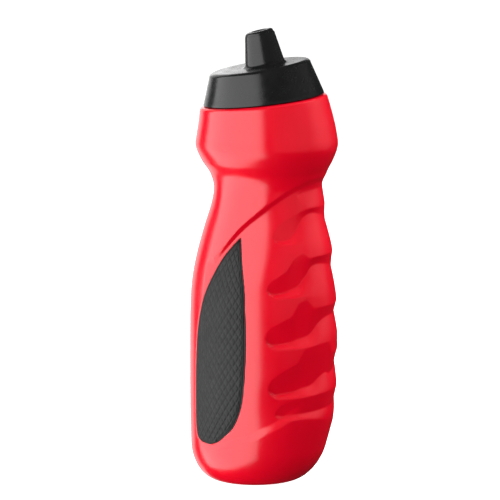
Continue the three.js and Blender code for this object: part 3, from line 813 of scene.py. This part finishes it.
def sheet_solid(name, outer, inner, material):
    """A closed pad from an outer and an inner grid of points."""
    rows, columns = outer.shape[:2]
    total = rows * columns
    points = np.concatenate([outer.reshape(-1, 3), inner.reshape(-1, 3)])
    number = np.arange(total).reshape(rows, columns)
    under = number + total
    corners = [number[:-1, :-1], number[:-1, 1:], number[1:, 1:], number[1:, :-1]]
    below = [under[:-1, :-1], under[1:, :-1], under[1:, 1:], under[:-1, 1:]]
    faces = np.stack(corners, -1).reshape(-1, 4).tolist()
    faces += np.stack(below, -1).reshape(-1, 4).tolist()
    border = [*number[0, :], *number[1:, -1], *number[-1, -2::-1], *number[-2:0:-1, 0]]
    for here, there in zip(border, border[1:] + border[:1]):
        faces.append([int(there), int(here), int(here) + total, int(there) + total])
    return add_mesh(name, points, faces, material, 50)


class BOTTLE_OT_cap(bpy.types.Operator):
    """Build the screw cap with its slanted top, tapered spout, collar and thread"""

    bl_idname = "bottle.cap"
    bl_label = "Cap"

    def execute(self, context):
        props = context.scene.bottle_cap
        count = props.around
        turns = turns_round(count)
        rings = []

        def ring(radius, z, slant=0.0, x=0.0):
            rings.append(oval(count, radius, radius, z, slant, x))

        # Up the outside of the skirt and over its edge.
        ring(CAP_RADIUS - CAP_FOOT_BEVEL, CAP_GAP)
        ring(CAP_RADIUS - CAP_FOOT_BEVEL * 0.3, CAP_GAP + CAP_FOOT_BEVEL * 0.2)
        ring(CAP_RADIUS, CAP_GAP + CAP_FOOT_BEVEL)
        cone = (CAP_RADIUS - CAP_TOP_RADIUS) / CAP_HEIGHT
        edge_z = CAP_HEIGHT - CAP_EDGE_RISE
        edge_radius = CAP_RADIUS - cone * edge_z
        edge_shift = -cone * edge_radius * math.tan(math.radians(CAP_TOP_SLANT))
        for share in np.linspace(0, 1, 14)[1:]:
            z = CAP_GAP + CAP_FOOT_BEVEL + (edge_z - CAP_GAP - CAP_FOOT_BEVEL) * share
            radius = CAP_RADIUS + (edge_radius - CAP_RADIUS) * share
            ring(radius, z, CAP_TOP_SLANT * share, edge_shift * share)
        for bend in np.linspace(0.25, np.pi / 2, 10):
            radius = edge_radius - CAP_EDGE_RADIUS * (1 - math.cos(bend))
            ring(radius, edge_z + CAP_EDGE_RISE * math.sin(bend), CAP_TOP_SLANT, edge_shift)

        def spout_ring(share, grow=0.0, drop=0.0):
            x, long_half, wide_half = (a + (b - a) * share for a, b in zip(SPOUT_BASE, SPOUT_TIP))
            slant = CAP_TOP_SLANT + (SPOUT_TIP_SLANT - CAP_TOP_SLANT) * share
            height = CAP_HEIGHT + SPOUT_HEIGHT * share + drop
            rings.append(oval(count, long_half + grow, wide_half + grow, height, slant, x))

        # Over the top, up the spout and round its tip.
        for grow in (9, 6, 4):
            spout_ring(0, grow)
        for bend in np.linspace(0, np.pi / 2, 9):
            share = SPOUT_FILLET_SHARE * (1 - math.cos(bend))
            spout_ring(share, SPOUT_FILLET * (1 - math.sin(bend)))
        for share in np.linspace(0.16, 0.9, 12):
            spout_ring(share)
        for bend in np.linspace(0, np.pi / 2, 9):
            inward = SPOUT_EDGE_RADIUS * (1 - math.cos(bend))
            spout_ring(1, -inward, -SPOUT_EDGE_RADIUS * (1 - math.sin(bend)))
        # Down the mouth and the passage, and round the valve's socket.
        tip = CAP_HEIGHT + SPOUT_HEIGHT
        for bend in np.linspace(0, np.pi / 2, 6):
            radius = SPOUT_MOUTH_RADIUS + SPOUT_MOUTH_BEVEL * (1 - math.sin(bend))
            z = tip - SPOUT_MOUTH_BEVEL * (1 - math.cos(bend))
            ring(radius, z, SPOUT_TIP_SLANT, SPOUT_TIP[0])
        ring(SPOUT_MOUTH_RADIUS, tip - SPOUT_MOUTH_DEPTH, 0, SPOUT_TIP[0])
        ring(SPOUT_MOUTH_RADIUS + 0.6, tip - SPOUT_MOUTH_DEPTH - 1, 0, SPOUT_TIP[0])
        ring(SPOUT_MOUTH_RADIUS + 1.4, CAP_HEIGHT + 4)
        ring(PASSAGE_RADIUS, CAP_HEIGHT + PASSAGE_TOP)
        ring(PASSAGE_RADIUS, VALVE_SEAT)
        ring(VALVE_SEAT_RADIUS, VALVE_SEAT)
        ring(VALVE_SEAT_RADIUS, VALVE_SOCKET_END + CAP_BEVEL)
        ring(VALVE_SEAT_RADIUS + CAP_BEVEL, VALVE_SOCKET_END)
        socket_radius = VALVE_SEAT_RADIUS + VALVE_SOCKET_WALL
        ring(socket_radius - CAP_BEVEL, VALVE_SOCKET_END)
        ring(socket_radius, VALVE_SOCKET_END + CAP_BEVEL)
        ring(socket_radius, CAP_UNDERSIDE - 0.4)
        ring(socket_radius + 0.4, CAP_UNDERSIDE)
        ring(COLLAR_BORE - CAP_BEVEL, CAP_UNDERSIDE)
        # Down the collar's thread, and up its outside to the inside of the skirt.
        for z in np.arange(CAP_UNDERSIDE - CAP_BEVEL, COLLAR_END + CAP_BEVEL, -CAP_ROW):
            ring(COLLAR_BORE - THREAD_DEPTH * thread_height(turns, z, CAP_THREAD_START), z)
        ring(COLLAR_BORE + CAP_BEVEL, COLLAR_END)
        collar_radius = COLLAR_BORE + COLLAR_WALL
        ring(collar_radius - CAP_BEVEL, COLLAR_END)
        ring(collar_radius, COLLAR_END + CAP_BEVEL)
        ring(collar_radius, SKIRT_HOLLOW_TOP)
        ring(collar_radius + 0.8, SKIRT_HOLLOW_TOP)
        ring(CAP_RADIUS - CAP_WALL, CAP_GAP + 0.2)
        ring(CAP_RADIUS - CAP_WALL + 0.2, CAP_GAP)
        cap = lofted("screw_cap", rings, cap_plastic(props), looped=True, sharp=55)
        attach(cap, "cap")
        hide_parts("cap")
        return {"FINISHED"}


class BOTTLE_OT_cap_inside(bpy.types.Operator):
    """Build the washer, the slit valve and the valve's retaining ring"""

    bl_idname = "bottle.cap_inside"
    bl_label = "Washer, valve and retainer"

    def execute(self, context):
        props = context.scene.bottle_cap
        clear = silicone(props)
        top, bottom = CAP_UNDERSIDE - PIECE_GAP, NECK_HEIGHT + PIECE_GAP
        washer = turned("sealing_washer", [
            (NECK_BORE, bottom), (WASHER_RADIUS, bottom), (WASHER_RADIUS, top), (NECK_BORE, top),
        ], 0.3, clear, 160)
        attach(washer, "cap_seal")
        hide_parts("seal_washer")

        valve = self.slit_valve(clear)
        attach(valve, "cap")
        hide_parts("spout_valve")

        top = VALVE_SEAT - 2 * PIECE_GAP - VALVE_RIM
        bottom = VALVE_SOCKET_END + 0.2
        outside = VALVE_SEAT_RADIUS - PIECE_GAP
        retainer = turned("retaining_ring", [
            (RETAINER_BORE, bottom), (outside - 0.5, bottom), (outside, bottom + 0.6),
            (outside, top), (RETAINER_BORE + 0.6, top), (RETAINER_BORE, top - 0.6),
        ], 0.25, retainer_plastic(props))
        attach(retainer, "cap")
        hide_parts("valve_retainer")
        return {"FINISHED"}

    def slit_valve(self, material):
        """A rim, a sleeve and a dished membrane, with the cross slit as a fine groove in it."""
        rim_top = VALVE_SEAT - PIECE_GAP
        rim_bottom = rim_top - VALVE_RIM
        sleeve = PASSAGE_RADIUS - 0.6
        top = rim_top + VALVE_RISE
        rim_radius = VALVE_SEAT_RADIUS - 0.4
        corners = [
            (0, top - VALVE_DISH), (VALVE_SLOPE_RADIUS, top - VALVE_SLOPE_DROP),
            (sleeve - VALVE_EDGE, top), (sleeve, top - 0.5), (sleeve, rim_top),
            (rim_radius, rim_top), (rim_radius, rim_bottom),
            (sleeve - VALVE_SKIN, rim_bottom), (sleeve - VALVE_SKIN, top - VALVE_SKIN - VALVE_EDGE),
            (3.2, top - VALVE_SLOPE_DROP - VALVE_SKIN), (0, top - VALVE_DISH - VALVE_SKIN),
        ]
        slope = np.array(corners[1]) - np.array(corners[0])
        profile = [np.array(corners[0]) + slope * share for share in np.linspace(0.05, 1, 14)]
        profile += rounded_profile(corners, 0.25)[2:-1]
        turn = np.radians(turns_round(160))
        rings = []
        for radius, z in profile:
            radius = max(radius, 0.05)
            to_slit = np.minimum(np.abs(radius * np.sin(turn)), np.abs(radius * np.cos(turn)))
            on_membrane = (radius < SLIT_REACH) * (z > top - VALVE_DISH - 0.1)
            groove = SLIT_DEPTH * np.exp(-((to_slit / SLIT_WIDTH) ** 2)) * on_membrane
            rings.append(on_neck(radius * np.cos(turn), -radius * np.sin(turn), z - groove))
        return lofted("slit_valve", rings, material, sharp=60)


class BOTTLE_OT_stage(bpy.types.Operator):
    """Set the camera, the pale floor and the soft lights"""

    bl_idname = "bottle.stage"
    bl_label = "Stage"

    def execute(self, context):
        props = context.scene.bottle_stage
        scene = context.scene
        low, high = (Vector(corner) for corner in CAD_BOUNDS)
        middle = (low + high) / 2
        self.camera(scene, props, middle)
        self.floor(scene, props)
        self.world(scene, props)
        for softbox in SOFTBOXES:
            self.softbox(middle, *softbox)
        scene.view_settings.view_transform = "Standard"
        return {"FINISHED"}

    def camera(self, scene, props, middle):
        aim = Vector((AIM_SIDE, 0, middle.z + AIM_RISE))
        back = Vector((0, -math.cos(props.elevation), math.sin(props.elevation)))
        data = bpy.data.cameras.new("camera")
        data.sensor_width = 36
        data.lens = data.sensor_width * props.distance / props.view_width
        data.clip_start = 0.05
        camera = bpy.data.objects.new("camera", data)
        camera.location = aim + back * props.distance
        camera.rotation_euler = (-back).to_track_quat("-Z", "Y").to_euler()
        scene.collection.objects.link(camera)
        scene.camera = camera

    def floor(self, scene, props):
        """A round floor that curves up into a wall, seen by the camera but not in the gloss."""
        profile = [(0.02, 0), (0.3, 0), (1, 0), (FLOOR_RADIUS, 0)]
        for bend in np.linspace(0.1, np.pi / 2, 12):
            profile.append((FLOOR_RADIUS + math.sin(bend), 1 - math.cos(bend)))
        profile.append((FLOOR_RADIUS + 1, BACKDROP_HEIGHT))
        turn = np.linspace(0, 2 * np.pi, FLOOR_POINTS, endpoint=False)
        points = [(r * math.cos(t), r * math.sin(t), z) for r, z in profile for t in turn]
        faces = ring_faces(len(profile), FLOOR_POINTS, False)
        faces.append(list(range(FLOOR_POINTS)))
        mesh = bpy.data.meshes.new("floor")
        mesh.from_pydata(points, [], faces)
        mesh.update()
        material, shader = new_material("pale_floor", props.floor_color, 0.9, 0.1)
        shader.inputs["Emission Color"].default_value = (1, 1, 1, 1)
        shader.inputs["Emission Strength"].default_value = props.glow
        mesh.materials.append(material)
        floor = bpy.data.objects.new("floor", mesh)
        floor.visible_glossy = False
        floor.visible_diffuse = False
        floor.visible_shadow = False
        scene.collection.objects.link(floor)

    def world(self, scene, props):
        world = bpy.data.worlds.new("studio")
        world.use_nodes = True
        shell = world.node_tree.nodes["Background"]
        shell.inputs["Color"].default_value = (1, 1, 1, 1)
        shell.inputs["Strength"].default_value = props.ambient
        scene.world = world

    def softbox(self, middle, name, azimuth, elevation, distance, size, radiance, in_gloss):
        a, e = math.radians(azimuth), math.radians(elevation)
        back = Vector((math.sin(a) * math.cos(e), -math.cos(a) * math.cos(e), math.sin(e)))
        data = bpy.data.lights.new(name, "AREA")
        data.shape = "RECTANGLE"
        data.size, data.size_y = size
        data.energy = radiance * math.pi * size[0] * size[1]
        light = bpy.data.objects.new(name, data)
        light.location = middle + back * distance
        light.rotation_euler = (-back).to_track_quat("-Z", "Y").to_euler()
        light.visible_camera = False
        light.visible_glossy = in_gloss
        bpy.context.scene.collection.objects.link(light)


class BOTTLE_PT_panel(bpy.types.Panel):
    """Buttons for the bottle's pieces."""

    bl_label = "Squeeze bottle"
    bl_idname = "BOTTLE_PT_panel"
    bl_space_type = "VIEW_3D"
    bl_region_type = "UI"
    bl_category = "Squeeze bottle"

    def draw(self, context):
        column = self.layout.column(align=True)
        for operator in OPERATORS:
            column.operator(operator.bl_idname)
        for name in SETTINGS:
            group = getattr(context.scene, name)
            box = self.layout.box()
            for key in group.bl_rna.properties.keys():
                if key not in {"rna_type", "name"}:
                    box.prop(group, key)


OPERATORS = (
    BOTTLE_OT_stage, BOTTLE_OT_body, BOTTLE_OT_grip_pads, BOTTLE_OT_cap, BOTTLE_OT_cap_inside,
)
SETTINGS = {
    "bottle_body": BodySettings,
    "bottle_pads": PadSettings,
    "bottle_cap": CapSettings,
    "bottle_stage": StageSettings,
}


def register():
    for cls in (*SETTINGS.values(), *OPERATORS, BOTTLE_PT_panel):
        bpy.utils.register_class(cls)
    for name, cls in SETTINGS.items():
        setattr(bpy.types.Scene, name, PointerProperty(type=cls))


def unregister():
    for name in SETTINGS:
        delattr(bpy.types.Scene, name)
    for cls in reversed((*SETTINGS.values(), *OPERATORS, BOTTLE_PT_panel)):
        bpy.utils.unregister_class(cls)


def main():
    register()
    bpy.ops.bottle.stage()
    bpy.ops.bottle.body()
    bpy.ops.bottle.grip_pads()
    bpy.ops.bottle.cap()
    bpy.ops.bottle.cap_inside()


if __name__ == "__main__":
    main()
